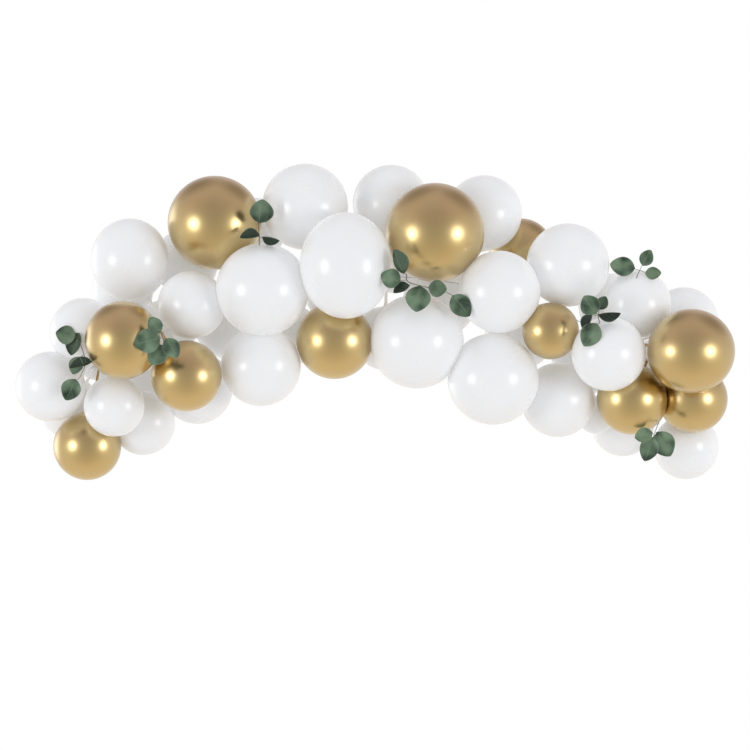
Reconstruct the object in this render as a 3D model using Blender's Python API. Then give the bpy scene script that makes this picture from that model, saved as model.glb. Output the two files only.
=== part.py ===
"""Balloon garland: white and gold balloons tied along an arched strip, with sprigs of round leaves.

Metres, +Z up. The viewer stands at -Y and +X is to the right. The origin is on the outer
face of the strip at its crown, where the garland hangs.
"""

import math

import bmesh
import bpy
import numpy as np
from mathutils import Matrix, Vector
from mathutils.bvhtree import BVHTree

CM = 0.01
GAP = 0.0003  # left between pieces that touch

# The strip that every balloon is tied to
ARC_RADIUS = 1.35
HALF_SPAN = 0.79
STRIP_WIDTH = 0.020
STRIP_THICKNESS = 0.002
STRIP_SEGMENTS = 27  # odd, so that the middle one lies level

# How balloons press on each other and hold on to the strip
SQUEEZE = 0.08  # share of two radii that a pair may give up where it presses
STRIP_CLEARANCE = 0.016  # from the strip's middle line to the skin of a balloon
KNOT_RADIUS = 0.005
KNOT_PITCH = 0.016
END_MARGIN = 0.035  # from an end segment, which a mount needs free, to an outer knot
NECK_RADIUS = 0.0045
NECK_ROOT = 0.17  # radius of the skin's gather at the neck, as a share of the balloon's
NECK_LONGEST = 0.15  # a balloon further than this from the strip isn't tied to it
FREE_NECK = 0.03
NECK_RISE = 0.0002  # lifts the gather off the skin, so that it shows in a flat too
NECK_BEND = 0.35  # where the gather becomes the neck, as a share of the neck's length
NECK_AIMS = [i / 48 for i in range(49)]  # places along a neck that a flat may face
NEAR = 0.004  # balloons closer than this have a flat between them
SKIN_RINGS = ((38, 6), (64, 10), (90, 11), (116, 10), (144, 6), (180, 1))  # degrees, points
RIM_CLEAR = math.cos(math.radians(25))  # a flat's corners keep this far off the gather
FACET_SWELL = 1.012  # corners stand proud, so that the flats average the true radius

# The sprigs
LEAF_THICKNESS = 0.0009
LEAF_CUP = 0.08  # how far a leaf's middle is sunk, as a share of its width
STEM_RADIUS = 0.0013
PETIOLE_RADIUS = 0.0008
STEM_STEP = 0.018
STEM_SLOPE = 1.2  # the most that a stem dips into a valley, as depth over length
LEAF_CLEARANCE = 0.001  # between a leaf or stem and the balloon that it lies on
STALK_HOLD = 0.4  # how far a stalk runs into its leaf, as a share of the way to its middle
OPEN_AIR = 1.0  # a depth behind every balloon, for a leaf with none behind it

# Each balloon: colour, place along the strip from its crown, distance out from the strip,
# depth behind it, width, and height over width. Lengths are in centimetres.
BALLOONS = [
    ("white", -96.1, 2.8, -7.6, 19.4, 1.00),
    ("white", -96.0, -5.2, 11.7, 17.2, 1.00),
    ("white", -85.2, -12.5, -11.1, 16.9, 1.00),
    ("white", -81.0, -20.9, 2.2, 17.8, 1.00),
    ("white", -80.3, 9.2, -1.1, 18.9, 1.00),
    ("white", -66.3, 14.0, 12.8, 17.2, 1.00),
    ("white", -61.3, 20.2, -3.9, 21.8, 1.05),
    ("white", -60.0, -19.9, 3.9, 20.0, 1.00),
    ("white", -51.4, 1.7, -11.7, 18.9, 1.00),
    ("white", -49.0, 13.6, 10.0, 18.3, 1.00),
    ("white", -37.8, -20.5, -9.4, 22.2, 1.00),
    ("white", -31.5, -0.2, -16.7, 25.8, 1.00),
    ("white", -16.9, 20.4, -4.2, 23.9, 1.00),
    ("white", -7.9, 3.0, -17.2, 25.6, 1.15),
    ("white", 3.2, -17.2, 10.0, 17.8, 1.00),
    ("white", 3.9, 20.3, 4.4, 21.4, 1.00),
    ("white", 13.3, -17.6, -8.3, 26.1, 1.00),
    ("white", 26.5, 20.5, 4.4, 21.1, 1.00),
    ("white", 34.8, 0.0, -13.9, 22.8, 1.00),
    ("white", 40.3, -23.7, -6.4, 25.3, 1.00),
    ("white", 49.9, 13.0, -7.8, 23.1, 1.00),
    ("white", 63.2, -22.3, 1.4, 20.6, 1.00),
    ("white", 70.0, -4.5, -13.9, 20.6, 1.00),
    ("white", 70.1, 11.6, -5.0, 18.9, 1.00),
    ("white", 76.6, -20.6, 6.1, 10.6, 1.00),
    ("white", 82.7, 14.4, 6.1, 19.4, 1.00),
    ("white", 85.9, -18.6, 15.0, 17.5, 1.00),
    ("white", 105.4, -11.8, 12.2, 18.1, 1.00),
    ("gold", -99.7, -16.3, -1.1, 18.9, 1.00),
    ("gold", -72.5, 1.3, -16.1, 21.0, 1.04),
    ("gold", -61.2, -15.7, -14.4, 19.7, 1.00),
    ("gold", -39.0, 21.2, -5.6, 26.1, 1.00),
    ("gold", -12.9, -17.4, -8.6, 21.4, 1.00),
    ("gold", 15.2, 12.9, -12.8, 27.5, 1.00),
    ("gold", 37.7, 13.0, 15.0, 17.8, 1.00),
    ("gold", 52.1, -5.8, -11.7, 15.8, 1.00),
    ("gold", 83.2, -11.5, -2.2, 19.7, 1.00),
    ("gold", 88.3, 8.8, -13.9, 24.4, 0.96),
    ("gold", 97.1, -0.9, 2.2, 19.4, 0.98),
]

# The balloons that fill the back, in the same terms
BACK_BALLOONS = [
    ("white", -79.5, 2.6, 13.9, 17.2, 1.00),
    ("white", -72.6, -13.0, 15.0, 17.2, 1.00),
    ("white", -61.1, -1.6, 10.6, 17.2, 1.00),
    ("white", -43.8, -6.9, 12.2, 18.9, 1.00),
    ("white", -29.8, 17.0, 11.7, 17.2, 1.00),
    ("white", -26.5, -14.1, 10.6, 17.2, 1.00),
    ("white", -10.0, -3.5, 12.5, 20.0, 1.00),
    ("white", 4.6, 2.9, 16.1, 15.0, 1.00),
    ("white", 18.9, -5.4, 13.3, 20.6, 1.00),
    ("white", 44.2, -9.7, 13.3, 19.4, 1.00),
    ("white", 64.7, 7.8, 12.8, 18.3, 1.00),
    ("white", 65.3, -9.5, 14.7, 18.3, 1.00),
    ("white", 84.1, -1.6, 13.3, 18.3, 1.00),
]

# Each sprig: the stem's places (along, out) from its root, and its leaves. A leaf has the place
# of its base, its length and width, the way its tip points (0 right, 90 up) and how far it
# is turned edge-on. Lengths are in centimetres and angles in degrees.
SPRIGS = [
    (
        [(-29.6, 12.0), (-29.1, 14.6), (-28.6, 18.2)],
        [
            (-28.4, 17.8, 6.2, 6.4, 82, 8),
            (-28.9, 14.4, 5.2, 5.0, 186, 58),
            (-28.5, 14.0, 4.6, 4.2, -12, 62),
        ],
    ),
    (
        [(8.6, 0.6), (8.8, -1.6), (13.6, -2.4), (19.1, -2.8), (21.8, -3.6)],
        [
            (8.0, 0.6, 6.8, 5.2, 104, 12),
            (7.2, -1.6, 5.4, 5.2, 160, 10),
            (9.8, -2.4, 4.6, 4.0, 205, 48),
            (12.6, -2.2, 6.8, 6.6, 262, 8),
            (15.0, -2.6, 4.8, 4.6, -4, 14),
            (22.0, -3.7, 7.0, 5.6, -50, 10),
        ],
    ),
    (
        [(-82.2, 10.6), (-82.4, 7.6), (-83.2, 4.4), (-84.0, 1.8), (-85.6, 0.6), (-88.0, -0.6)],
        [
            (-82.6, 9.2, 5.2, 5.0, 168, 10),
            (-81.2, 9.6, 6.2, 5.6, 250, 42),
            (-84.8, 4.2, 4.8, 4.2, 252, 25),
            (-82.6, 0.8, 6.0, 4.6, 196, 55),
            (-89.2, -0.2, 6.0, 5.2, 245, 8),
        ],
    ),
    (
        [(-63.6, -7.4), (-62.4, -4.6), (-62.1, -1.8)],
        [
            (-62.4, -2.0, 4.8, 4.2, 122, 20),
            (-62.8, -3.2, 7.0, 6.4, 194, 10),
            (-61.6, -4.0, 5.8, 4.8, -58, 18),
            (-62.8, -5.6, 6.0, 5.6, 232, 12),
        ],
    ),
    (
        [(65.4, 1.0), (62.6, 2.4), (61.8, 5.2)],
        [
            (61.6, 3.4, 5.6, 5.4, 122, 8),
            (60.6, 3.0, 4.8, 4.2, 246, 52),
            (61.8, 5.0, 3.8, 3.4, 62, 20),
            (62.2, 3.6, 5.8, 4.6, 4, 58),
            (63.0, 1.4, 6.8, 5.6, 240, 10),
        ],
    ),
    (
        [(66.8, 14.6), (66.6, 18.4), (66.5, 20.6)],
        [
            (65.4, 19.8, 6.6, 5.2, 170, 15),
            (66.6, 21.4, 4.6, 3.8, 62, 15),
            (68.0, 19.9, 4.2, 3.6, 2, 25),
        ],
    ),
    (
        [(93.0, -9.6), (94.1, -12.9), (95.0, -15.4)],
        [
            (94.4, -15.4, 4.8, 4.2, 196, 18),
            (95.2, -14.4, 7.2, 6.2, -62, 10),
            (95.4, -16.2, 6.6, 5.0, 250, 10),
        ],
    ),
]


def along_strip(along, out, depth=0.0):
    """The point at a distance along the strip, out from its outer face and behind its middle line."""
    angle = along / ARC_RADIUS
    radius = ARC_RADIUS + out
    return Vector((radius * math.sin(angle), depth, radius * math.cos(angle) - ARC_RADIUS))


HALF_ANGLE = math.asin(HALF_SPAN / ARC_RADIUS)
SEGMENT_ANGLE = 2 * HALF_ANGLE / STRIP_SEGMENTS
SEGMENT_LENGTH = SEGMENT_ANGLE * ARC_RADIUS
CORNER_RISE = ARC_RADIUS * (1 / math.cos(SEGMENT_ANGLE / 2) - 1)
KNOT_REACH = KNOT_RADIUS * math.sqrt(2)  # a knot's furthest corner from its middle


class Balloon:
    """One balloon: a ball or oval about centre, and a neck whose knot rests on the strip."""

    def __init__(self, name, row):
        self.colour, along, out, depth, width, tall = row
        self.name = name
        self.along = along * CM
        self.out = out * CM
        self.depth = depth * CM
        self.rank = depth
        self.from_line = math.hypot(self.out, self.depth)
        self.half = Vector((width, width, width * tall)) * CM / 2
        self.radius = width * (1 + tall) / 2 * CM / 2
        self.side = 1 if out >= 0 else -1
        self.planes = []

    def reach(self, way):
        """How far the skin reaches from the centre, measured square to a plane that faces way."""
        return Vector(way[i] * self.half[i] for i in range(3)).length * FACET_SWELL

    def skin(self, way):
        """The skin's point in one direction from the centre, and whether a plane has cut it back."""
        full = FACET_SWELL / Vector(way[i] / self.half[i] for i in range(3)).length
        length = full
        for normal, distance in self.planes:
            slope = way.dot(normal)
            if slope > 0:
                length = min(length, distance / slope)
        return self.centre + way * length, length < 0.99 * full


def settle(balloons):
    """Shift the balloons in depth until no pair presses too hard and all clear the strip.

    Their order from front to back is kept, and so is the view that the front shows.
    """
    places = [along_strip(b.along, b.out) for b in balloons]
    across = np.array([[p.x, p.z] for p in places])
    radius = np.array([b.radius for b in balloons])
    depth = np.array([b.depth for b in balloons])
    rank = np.array([b.rank for b in balloons])
    order = np.sign(rank[:, None] - rank[None, :])
    apart = np.linalg.norm(across[:, None] - across[None, :], axis=2)
    wanted = (1 - SQUEEZE) * (radius[:, None] + radius[None, :])
    behind = np.sqrt(np.maximum(wanted**2 - apart**2, 0))
    np.fill_diagonal(behind, 0)
    past_end = np.array([max(abs(b.along) - HALF_ANGLE * ARC_RADIUS, 0) for b in balloons])
    from_strip = np.hypot([b.out for b in balloons], past_end)
    clear = np.sqrt(np.maximum((radius + STRIP_CLEARANCE) ** 2 - from_strip**2, 0))
    steps, share, most = 90, 0.3, 0.008
    for _ in range(steps):
        lack = np.maximum(behind - order * (depth[:, None] - depth[None, :]), 0)
        lack[behind == 0] = 0
        move = (order * lack).sum(axis=1) * share
        move += np.sign(rank) * np.maximum(clear - np.abs(depth), 0) * share
        depth += np.clip(move, -most, most)
    for balloon, y in zip(balloons, depth):
        balloon.centre = along_strip(balloon.along, balloon.out, y)


def spread_knots(balloons):
    """Give each balloon its own place for a knot on the strip's outer or inner face.

    A balloon too far from the strip to be tied to it is stuck to the balloons that it presses
    on, and its knot hangs free behind it.
    """
    for balloon in balloons:
        balloon.tied = to_strip_line(balloon).length - balloon.radius < NECK_LONGEST
        balloon.neck_way = balloon.to_strip = Vector((0, 1, 0))
        balloon.knot = balloon.centre + balloon.neck_way * (balloon.radius + FREE_NECK)
    for side in (1, -1):
        end = HALF_ANGLE * ARC_RADIUS - KNOT_REACH - GAP
        if side == 1:
            end -= SEGMENT_LENGTH + END_MARGIN
        crown = SEGMENT_LENGTH / 2 + KNOT_REACH + GAP

        def turn_of(balloon):
            clamped = max(-end, min(end, balloon.along))
            return clamped, -math.copysign(balloon.from_line, clamped)

        row = sorted((b for b in balloons if b.tied and b.side == side), key=turn_of)
        places = [turn_of(b)[0] for b in row]
        for _ in range(400):
            for i in range(len(row)):
                if side == 1 and abs(places[i]) < crown:
                    places[i] = math.copysign(crown, places[i])
                if i and places[i] - places[i - 1] < KNOT_PITCH:
                    push = (KNOT_PITCH - places[i] + places[i - 1]) / 2
                    places[i - 1] = max(places[i - 1] - push, -end)
                    places[i] = min(places[i] + push, end)
        for balloon, place in zip(row, places):
            rest = GAP + KNOT_RADIUS + CORNER_RISE
            out = rest if side == 1 else -STRIP_THICKNESS - rest
            balloon.knot = along_strip(place, out)
            balloon.to_strip = (along_strip(place, 0) - along_strip(place, side)).normalized()
            balloon.neck_way = (balloon.knot - balloon.centre).normalized()


def to_strip_line(balloon):
    """The way and distance from a balloon's centre to the strip's middle line."""
    end = HALF_ANGLE * ARC_RADIUS
    nearest = along_strip(max(-end, min(end, balloon.along)), -STRIP_THICKNESS / 2)
    return nearest - balloon.centre


def gather_points(balloon):
    """The ring where the skin gathers into the neck, and its middle on the neck's axis."""
    way = balloon.neck_way
    ring = ring_of_ways(way, math.asin(NECK_ROOT), 5, balloon.to_strip)
    gather = [balloon.skin(direction)[0] + way * NECK_RISE for direction in ring]
    distance = sum((point - balloon.centre).dot(way) for point in gather) / len(gather)
    return gather, balloon.centre + way * distance


def clear_of_neck(balloon, other):
    """The plane that keeps a balloon's ball off another's neck with the least cut."""
    start, spheres = other.neck
    best = None
    for share in NECK_AIMS:
        aim = start.lerp(other.knot, share)
        way = (aim - balloon.centre).normalized()
        room = min(way.dot(p - balloon.centre) - radius for p, radius in spheres) - GAP
        if best is None or room / balloon.reach(way) > best[1] / balloon.reach(best[0]):
            best = (way, room)
    return best


def press(balloons):
    """Flatten the balloons on each other, on necks and on the strip, as planes that cut them."""
    for balloon in balloons:
        balloon.contacts = []
    for i, a in enumerate(balloons):
        for b in balloons[i + 1 :]:
            across = b.centre - a.centre
            way = across.normalized()
            spare = across.length - a.reach(way) - b.reach(way)
            if spare < NEAR:
                for one, other, facing in ((a, b, way), (b, a, -way)):
                    plane = (facing, one.reach(facing) + spare / 2 - GAP / 2)
                    one.planes.append(plane)
                    one.contacts.append(plane)
    for balloon in balloons:
        gather, start = gather_points(balloon)
        balloon.bend = start.lerp(balloon.knot, NECK_BEND)
        bend, knot = (balloon.bend, NECK_RADIUS), (balloon.knot, KNOT_REACH)
        balloon.neck = (start, [bend, knot] + [(point, 0) for point in gather])
    for a in balloons:
        for b in balloons:
            if a is not b and (b.centre - a.centre).length < 2.5 * (a.radius + b.radius):
                way, distance = clear_of_neck(a, b)
                if distance < a.reach(way):
                    a.planes.append((way, distance))
    half_section = math.hypot(STRIP_WIDTH, STRIP_THICKNESS) / 2 + CORNER_RISE
    for balloon in balloons:
        way = to_strip_line(balloon)
        balloon.planes.append((way.normalized(), way.length - half_section - GAP))


def frame_about(way, towards):
    """Two directions square to way, the first leaning as far as it can towards another."""
    first = towards - way * towards.dot(way)
    if first.length < 1e-4:
        first = way.orthogonal()
    first.normalize()
    return first, way.cross(first)


def ring_of_ways(way, angle, count, towards):
    """Directions evenly round a cone about way."""
    first, second = frame_about(way, towards)
    turns = [2 * math.pi * i / count for i in range(count)]
    return [
        way * math.cos(angle) + (first * math.cos(t) + second * math.sin(t)) * math.sin(angle)
        for t in turns
    ]


def skin_points(balloon):
    """The points of the skin outside its gather."""
    way, towards = balloon.neck_way, balloon.to_strip
    points = []
    for degrees, count in SKIN_RINGS:
        for direction in ring_of_ways(way, math.radians(degrees), count, towards):
            point, was_cut = balloon.skin(direction)
            if not was_cut:
                points.append(point)
    for facing, distance in balloon.contacts:
        share = distance / balloon.reach(facing)
        if share < 0.995:
            rim = ring_of_ways(facing, math.acos(share), 6, way)
            clear = [direction for direction in rim if direction.dot(way) < RIM_CLEAR]
            points += [balloon.skin(direction)[0] for direction in clear]
    return points


def extrude_ring(bm, faces, moved):
    """Extrude an end cap, and place each new corner by its old place."""
    made = bmesh.ops.extrude_face_region(bm, geom=faces)["geom"]
    old = [face for face in faces if face.is_valid]
    bmesh.ops.delete(bm, geom=old, context="FACES_ONLY")
    for vert in made:
        if isinstance(vert, bmesh.types.BMVert):
            vert.co = moved(vert.co)
    return [item for item in made if isinstance(item, bmesh.types.BMFace)]


def balloon_mesh(balloon):
    """The skin as a hull of its points, with the neck drawn out of it to the knot."""
    gather, middle = gather_points(balloon)
    bm = bmesh.new()
    ring = [bm.verts.new(point) for point in gather]
    for point in skin_points(balloon):
        bm.verts.new(point)
    bmesh.ops.remove_doubles(bm, verts=[v for v in bm.verts if v not in ring], dist=0.0015)
    bmesh.ops.convex_hull(bm, input=list(bm.verts))
    loose = [vert for vert in bm.verts if not vert.link_faces]
    bmesh.ops.delete(bm, geom=loose, context="VERTS")
    bmesh.ops.recalc_face_normals(bm, faces=list(bm.faces))
    faces = [f for f in bm.faces if all(v in ring for v in f.verts)]

    way = balloon.neck_way
    wide = (gather[0] - middle).length
    length = (balloon.knot - middle).length
    to_bend = (balloon.bend - middle).length
    slant = abs(way.dot(balloon.to_strip))
    knot_size = KNOT_RADIUS / max(slant, math.sqrt(1 - slant * slant))

    def at(distance, size):
        centre = middle + way * distance
        return lambda co: centre + (co - middle - way * (co - middle).dot(way)).normalized() * size

    faces = extrude_ring(bm, faces, at(to_bend, min(NECK_RADIUS, wide)))
    faces = extrude_ring(bm, faces, at(length, knot_size))
    faces = extrude_ring(bm, faces, at(length + knot_size / 2, knot_size / 2))
    tip = list({vert for face in faces for vert in face.verts})
    bmesh.ops.pointmerge(bm, verts=tip, merge_co=balloon.knot + way * knot_size)
    mesh = bpy.data.meshes.new(balloon.name)
    bm.to_mesh(mesh)
    bm.free()
    mesh.shade_smooth()
    mesh.set_sharp_from_angle(angle=math.radians(50))
    return mesh


def make_material(name, colour, roughness, metallic=0.0):
    material = bpy.data.materials.new(name)
    material.use_nodes = True
    shader = material.node_tree.nodes["Principled BSDF"]
    shader.inputs["Base Color"].default_value = (*colour, 1)
    shader.inputs["Roughness"].default_value = roughness
    shader.inputs["Metallic"].default_value = metallic
    material.diffuse_color = (*colour, 1)
    return material


def add_object(name, mesh, collection, material):
    made = bpy.data.objects.new(name, mesh)
    collection.objects.link(made)
    mesh.materials.clear()
    mesh.materials.append(material)
    return made


def make_strip(collection, material):
    """A flat band bent round the arc, as straight segments whose middles touch it."""
    bm = bmesh.new()
    bmesh.ops.create_grid(bm, x_segments=1, y_segments=1, size=0.5)
    stretch = 1 / math.cos(SEGMENT_ANGLE / 2)
    for vert in bm.verts:
        radius = (ARC_RADIUS if vert.co.x > 0 else ARC_RADIUS - STRIP_THICKNESS) * stretch
        vert.co = Vector((0, math.copysign(STRIP_WIDTH / 2, vert.co.y), radius))
    bmesh.ops.rotate(bm, verts=bm.verts, matrix=Matrix.Rotation(-HALF_ANGLE, 3, "Y"))
    section = list(bm.verts) + list(bm.edges) + list(bm.faces)
    bmesh.ops.spin(bm, geom=section, axis=(0, 1, 0), angle=2 * HALF_ANGLE, steps=STRIP_SEGMENTS)
    bmesh.ops.translate(bm, verts=bm.verts, vec=(0, 0, -ARC_RADIUS))
    bmesh.ops.recalc_face_normals(bm, faces=list(bm.faces))
    mesh = bpy.data.meshes.new("strip")
    bm.to_mesh(mesh)
    bm.free()
    add_object("strip", mesh, collection, material)


class Front:
    """What a thing that comes from the front meets first: the balloons' skins."""

    def __init__(self, objects):
        points, faces = [], []
        for made in objects:
            start = len(points)
            points += [vert.co.copy() for vert in made.data.vertices]
            faces += [[start + i for i in face.vertices] for face in made.data.polygons]
        self.tree = BVHTree.FromPolygons(points, faces)

    def depth_at(self, point, margin=0.0):
        """The depth of the skin about a place in the picture, or None over a gap."""
        spots = [(0, 0), (margin, 0), (-margin, 0), (0, margin), (0, -margin)]
        depths = []
        for x, z in spots[: 5 if margin else 1]:
            hit = self.tree.ray_cast(Vector((point.x + x, -2, point.z + z)), Vector((0, 1, 0)))[0]
            if hit is not None:
                depths.append(hit.y)
        return min(depths, default=None)


def steps_between(start, end):
    """Points from start towards end, a step apart, without the end itself."""
    count = max(1, round((end - start).length / STEM_STEP))
    return [start.lerp(end, i / count) for i in range(count)]


def lay_stem(places, rests, front):
    """The stem's points, laid on the skins behind it and level with its leaves.

    Each rest is a leaf's base, at the depth where that leaf lies on the skins.
    """
    corners = [along_strip(along * CM, out * CM) for along, out in places]
    stem = []
    for start, end in zip(corners, corners[1:]):
        stem += steps_between(start, end)
    stem.append(corners[-1])
    limits = [(i, front.depth_at(p, 2 * STEM_RADIUS)) for i, p in enumerate(stem)]
    limits = [(i, skin - STEM_RADIUS - LEAF_CLEARANCE) for i, skin in limits if skin is not None]
    limits += [(nearest_in(stem, rest), rest.y) for rest in rests]
    climb = STEM_SLOPE * STEM_STEP
    for i, point in enumerate(stem):
        point.y = min(y + max(abs(i - j) - 1, 0) * climb for j, y in limits)
    return stem


def nearest_in(stem, place):
    """The number of the stem's point nearest to a place in the picture."""
    apart = [math.hypot(p.x - place.x, p.z - place.z) for p in stem]
    return apart.index(min(apart))


def leaf_mesh(length, width):
    """A round leaf with its base at the origin, its tip along +X and its face towards -Y."""
    bm = bmesh.new()
    bmesh.ops.create_circle(bm, cap_ends=True, cap_tris=True, segments=8, radius=0.5)
    for vert in bm.verts:
        at_middle = vert.co.length < 0.1
        x, z = vert.co.x, vert.co.y
        vert.co = ((x + 0.5) * length, LEAF_CUP * width if at_middle else 0, z * width)
    sheet = list(bm.faces)
    made = bmesh.ops.extrude_face_region(bm, geom=sheet)["geom"]
    verts = [item for item in made if isinstance(item, bmesh.types.BMVert)]
    bmesh.ops.translate(bm, verts=verts, vec=(0, LEAF_THICKNESS, 0))
    bmesh.ops.recalc_face_normals(bm, faces=list(bm.faces))
    mesh = bpy.data.meshes.new("leaf")
    bm.to_mesh(mesh)
    bm.free()
    return mesh


def lay_leaf(row, front):
    """A leaf turned its way and slid back onto the skins, as its mesh, base and heart."""
    along, out, length, width, tip, edge_on = row
    base = along_strip(along * CM, out * CM)
    mesh = leaf_mesh(length * CM, width * CM)
    turn = Matrix.Rotation(math.radians(-tip), 4, "Y") @ Matrix.Rotation(math.radians(edge_on), 4, "X")
    place = Matrix.Translation(base) @ turn
    mesh.transform(place)
    points = [vert.co.copy() for vert in mesh.vertices]
    centre = sum(points, Vector()) / len(points)
    points += [(points[a] + points[b]) / 2 for a, b in (edge.vertices for edge in mesh.edges)]
    inward = STALK_HOLD / 2
    sunk = STALK_HOLD * LEAF_CUP * width * CM + LEAF_THICKNESS / 2
    heart = place @ Vector((inward * length * CM, sunk, 0))
    points += [point.lerp(centre, 0.4) for point in points]
    skins = [(front.depth_at(point), point.y) for point in points]
    gaps = [skin - y for skin, y in skins if skin is not None]
    slide = min(gaps, default=OPEN_AIR) - LEAF_CLEARANCE
    for point in (base, heart):
        point.y += slide
    mesh.transform(Matrix.Translation((0, slide, 0)))
    return mesh, base, heart


def lay_stalk(joint, heart, front):
    """A leaf's stalk from its stem, kept in front of the skins on its way."""
    stalk = [*steps_between(joint, heart), heart]
    for point in stalk[1:-1]:
        skin = front.depth_at(point, 2 * PETIOLE_RADIUS)
        if skin is not None:
            point.y = min(point.y, skin - PETIOLE_RADIUS - LEAF_CLEARANCE)
    return stalk


def tube(points, radius, name):
    """A four-sided stem through points, as a closed mesh."""
    curve = bpy.data.curves.new(name, "CURVE")
    curve.dimensions = "3D"
    curve.bevel_depth = radius
    curve.bevel_resolution = 0
    curve.use_fill_caps = True
    spline = curve.splines.new("POLY")
    spline.points.add(len(points) - 1)
    for target, point in zip(spline.points, points):
        target.co = (*point, 1)
    made = bpy.data.objects.new(name, curve)
    bpy.context.scene.collection.objects.link(made)
    graph = bpy.context.evaluated_depsgraph_get()
    mesh = bpy.data.meshes.new_from_object(made.evaluated_get(graph))
    bpy.data.objects.remove(made)
    bm = bmesh.new()
    bm.from_mesh(mesh)
    bmesh.ops.remove_doubles(bm, verts=bm.verts, dist=0.00001)
    bmesh.ops.recalc_face_normals(bm, faces=list(bm.faces))
    bm.to_mesh(mesh)
    bm.free()
    return mesh


def make_sprig(name, sprig, front, parts, cutters, material):
    """A stem with its leaves and their stalks, joined into one solid."""
    places, rows = sprig
    leaves = [lay_leaf(row, front) for row in rows]
    stem = lay_stem(places, [base for _, base, _ in leaves], front)
    made = add_object(name, tube(stem, STEM_RADIUS, name), parts, material)
    for number, (leaf, base, heart) in enumerate(leaves):
        joint = stem[nearest_in(stem, base)]
        slide = Vector((0, joint.y - base.y, 0))
        leaf.transform(Matrix.Translation(slide))
        stalk = tube(lay_stalk(joint, heart + slide, front), PETIOLE_RADIUS, "stalk")
        for kind, mesh in (("leaf", leaf), ("stalk", stalk)):
            helper = add_object(f"{name}_{kind}_{number}", mesh, cutters, material)
            helper.hide_render = True
            helper.display_type = "WIRE"
            join = made.modifiers.new(f"join_{kind}_{number}", "BOOLEAN")
            join.operation = "UNION"
            join.solver = "EXACT"
            join.use_self = True
            join.object = helper


def main():
    for old in list(bpy.data.objects):
        bpy.data.objects.remove(old)
    parts = bpy.data.collections.new("balloon_garland")
    cutters = bpy.data.collections.new("sprig_helpers")
    for collection in (parts, cutters):
        bpy.context.scene.collection.children.link(collection)
    latex = {
        "white": make_material("white_latex", (0.93, 0.92, 0.90), 0.28),
        "gold": make_material("gold_latex", (0.55, 0.36, 0.14), 0.25, 0.9),
    }
    leaf_green = make_material("leaf_green", (0.07, 0.16, 0.10), 0.55)
    clear_strip = make_material("strip_plastic", (0.80, 0.82, 0.82), 0.25)

    counts = {"white": 0, "gold": 0}
    balloons = []
    for row in BALLOONS + BACK_BALLOONS:
        counts[row[0]] += 1
        balloons.append(Balloon(f"{row[0]}_balloon_{counts[row[0]]:02d}", row))
    settle(balloons)
    spread_knots(balloons)
    press(balloons)
    skins = []
    for balloon in balloons:
        mesh = balloon_mesh(balloon)
        skins.append(add_object(balloon.name, mesh, parts, latex[balloon.colour]))
    make_strip(parts, clear_strip)
    front = Front(skins)
    for number, sprig in enumerate(SPRIGS, start=1):
        make_sprig(f"sprig_{number}", sprig, front, parts, cutters, leaf_green)


main()
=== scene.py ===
"""Balloon garland: its looks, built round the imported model."""

import math

import bmesh
import bpy
import numpy as np
from mathutils import Matrix, Vector
from mathutils.bvhtree import BVHTree


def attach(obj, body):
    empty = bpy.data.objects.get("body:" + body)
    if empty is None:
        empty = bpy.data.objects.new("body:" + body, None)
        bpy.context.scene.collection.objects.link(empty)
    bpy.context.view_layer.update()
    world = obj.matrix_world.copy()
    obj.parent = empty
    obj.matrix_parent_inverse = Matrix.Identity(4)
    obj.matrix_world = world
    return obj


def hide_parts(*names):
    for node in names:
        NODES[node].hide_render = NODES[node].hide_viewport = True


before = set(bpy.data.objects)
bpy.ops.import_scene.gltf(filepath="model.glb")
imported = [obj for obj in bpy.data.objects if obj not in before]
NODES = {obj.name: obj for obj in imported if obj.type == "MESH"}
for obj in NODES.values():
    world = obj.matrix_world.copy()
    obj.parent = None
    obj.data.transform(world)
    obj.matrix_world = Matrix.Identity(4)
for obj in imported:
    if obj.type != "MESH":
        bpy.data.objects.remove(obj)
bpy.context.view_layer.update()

CM = 0.01

# The strip, its arc and its holes
ARC_RADIUS = 1.35
HALF_ANGLE = math.asin(0.79 / ARC_RADIUS)
STRIP_WIDTH = 0.020
STRIP_THICKNESS = 0.002
HOLE_PITCH = 0.025
HOLE_RADIUS = 0.0032
STRIP_EDGE = 0.0018  # how wide each raised edge is
STRIP_WEB = 0.0011  # how thick the strip is between its raised edges
MERGE_DISTANCE = 0.00005  # points closer than this are joined

# How a packed balloon is measured
BALL_TRIES = 400  # picks of corners that a ball is fitted to
BALL_AGREES = 0.004  # a corner this close to a ball's skin agrees with it, as a share of its size
BALL_STRETCH = (0.6, 1.5)  # width over height, squared, that a ball may have
BALL_RADIUS = (0.03, 0.20)
KNOT_DEPTH = 0.008  # the knot is what lies within this of the furthest corner
CORNER_SWELL = 1.012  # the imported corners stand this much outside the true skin

# The balloons
SKIN_GAP = 0.0003  # left between skins that press
SKIN_ROUNDING = 0.0035  # how softly a flat runs out into the round skin
LEAST_SLOPE = 0.2  # a flat is felt only where the skin faces it at least this much
BEYOND = 9.0  # a length longer than any balloon's
NECK_RADIUS = 0.0042
NECK_THINNING = 0.0009  # how much thinner the neck is at the knot
NECK_BEND = 0.35  # where the taper becomes the neck, as a share of the neck's length
NECK_LEAD = 0.30  # how far the skin runs on before it turns up the neck, as a share of its radius
NECK_ROOM = 0.16  # radius kept free about another's gather, as a share of that one's radius
NECK_AIMS = 24  # places along a neck that a flat may face
NECK_RANGE = 2.5  # balloons further apart than this, in radii, don't meet each other's necks
KNOT_REACH = 0.006  # from a knot's middle to its outside
KNOT_END = 0.0016  # how far the cut end of the latex is past the knot
CREASES = ((5, 0.07), (9, 0.04))  # folds about a neck: how many, and how deep

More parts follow.
